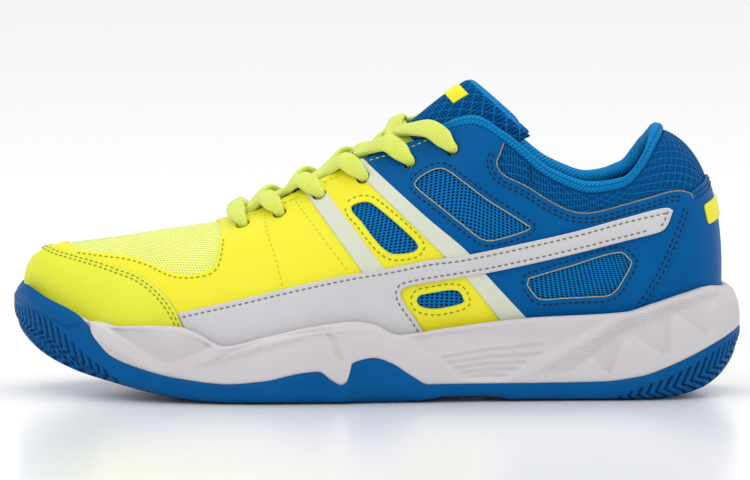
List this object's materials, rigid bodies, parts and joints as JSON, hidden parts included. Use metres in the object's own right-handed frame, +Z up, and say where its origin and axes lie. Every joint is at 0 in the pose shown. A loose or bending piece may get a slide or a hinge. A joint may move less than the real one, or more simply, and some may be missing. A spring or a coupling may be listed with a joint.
{
  "type": "court shoe",
  "caption": "Left low-cut lace-up court shoe: cupsole, foam midsole, mesh upper under synthetic overlays, padded collar and hinged tongue.",
  "frame": {"origin": "middle of the footprint's bounding box, on the ground", "axes": "+Z up, -X towards the toe, +X towards the heel, -Y the outer (lateral) side of the left foot, +Y the inner (medial) side"},
  "size_m": [0.295, 0.11, 0.1268],
  "materials": {
    "blue_rubber": "matt moulded rubber",
    "foam": "matt moulded foam with a fine grid texture",
    "plate": "matt",
    "board": "felted board",
    "sockliner": "knitted cover on foam",
    "blue_lining": "brushed knit",
    "padding": "open foam",
    "stiffener": "matt",
    "blue_mesh": "open knitted mesh",
    "yellow_mesh": "open knitted mesh",
    "yellow_skin": "smooth synthetic leather, satin",
    "toe_skin": "smooth synthetic leather, satin",
    "blue_skin": "smooth synthetic leather, satin",
    "stripe_skin": "smooth synthetic leather, satin",
    "band_skin": "smooth synthetic leather, satin",
    "lace": "woven flat lace",
    "aglet": "clear film over the lace"
  },
  "bodies": {
    "shoe": {"outsole": "blue_rubber", "midsole": "foam", "shank_plate": "plate", "insole_board": "board", "sockliner": "sockliner", "vamp_lining": "blue_lining", "quarter_lining": "blue_lining", "collar_foam": "padding", "collar_binding": "blue_lining", "toe_puff": "stiffener", "heel_counter": "stiffener", "vamp_mesh": "yellow_mesh", "heel_mesh": "blue_mesh", "vamp_overlay": "yellow_skin", "heel_panel": "blue_skin", "toe_cap": "toe_skin", "heel_patch": "yellow_skin", "lace": "lace", "eyestay_reinforcement_lateral": "stiffener", "side_mesh_lateral": "blue_mesh", "mid_panel_lateral": "yellow_skin", "quarter_panel_lateral": "blue_skin", "front_stripe_lateral": "stripe_skin", "rear_stripe_lateral": "stripe_skin", "side_band_lateral": "band_skin", "lace_tail_lateral": "lace", "aglet_lateral": "aglet", "eyestay_reinforcement_medial": "stiffener", "side_mesh_medial": "blue_mesh", "mid_panel_medial": "yellow_skin", "quarter_panel_medial": "blue_skin", "front_stripe_medial": "stripe_skin", "rear_stripe_medial": "stripe_skin", "side_band_medial": "band_skin", "lace_tail_medial": "lace", "aglet_medial": "aglet"},
    "tongue": {"tongue_cover": "blue_mesh", "tongue_foam": "padding", "tongue_lining": "blue_lining", "tongue_patch": "yellow_skin"}
  },
  "joints": [
    {"name": "tongue_fold", "type": "hinge", "parent": "shoe", "child": "tongue", "pos_m": [-0.0655, 0, 0.0644], "axis": [0, 1, 0], "range_deg": [0, 12]}
  ]
}
